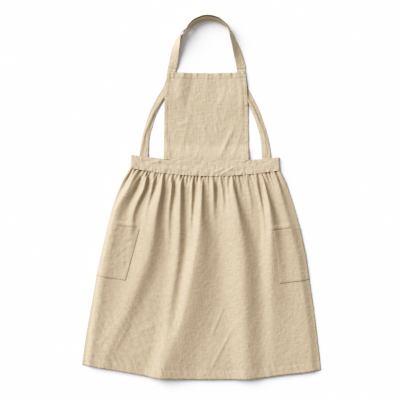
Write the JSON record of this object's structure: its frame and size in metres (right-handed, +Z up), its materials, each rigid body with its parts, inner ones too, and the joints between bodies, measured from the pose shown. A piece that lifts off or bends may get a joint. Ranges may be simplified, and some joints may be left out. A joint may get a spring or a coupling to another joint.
{
  "type": "cross back apron",
  "caption": "Linen work apron lying flat: bib, waistband, gathered skirt with two patch pockets and crossed shoulder straps forming a neck loop.",
  "frame": {"origin": "middle of the lying apron's footprint, on the surface it lies on", "axes": "+X to the wearer's left, which is the right in the view from above; +Y from the hem to the neck loop; +Z up from the surface, the outer side of the apron"},
  "size_m": [0.7874, 1.1982, 0.036],
  "materials": {
    "bib_linen": "washed natural linen, plain weave, matte",
    "band_linen": "washed natural linen, doubled, matte",
    "skirt_linen": "washed natural linen, plain weave, gathered, matte",
    "pocket_linen": "washed natural linen, plain weave, matte",
    "strap_linen": "washed natural linen, doubled and edge stitched, matte"
  },
  "bodies": {
    "root": {"bib": "bib_linen", "waistband": "band_linen", "skirt": "skirt_linen", "pocket_left": "pocket_linen", "pocket_right": "pocket_linen", "strap_left": "strap_linen", "strap_right": "strap_linen"}
  },
  "joints": []
}
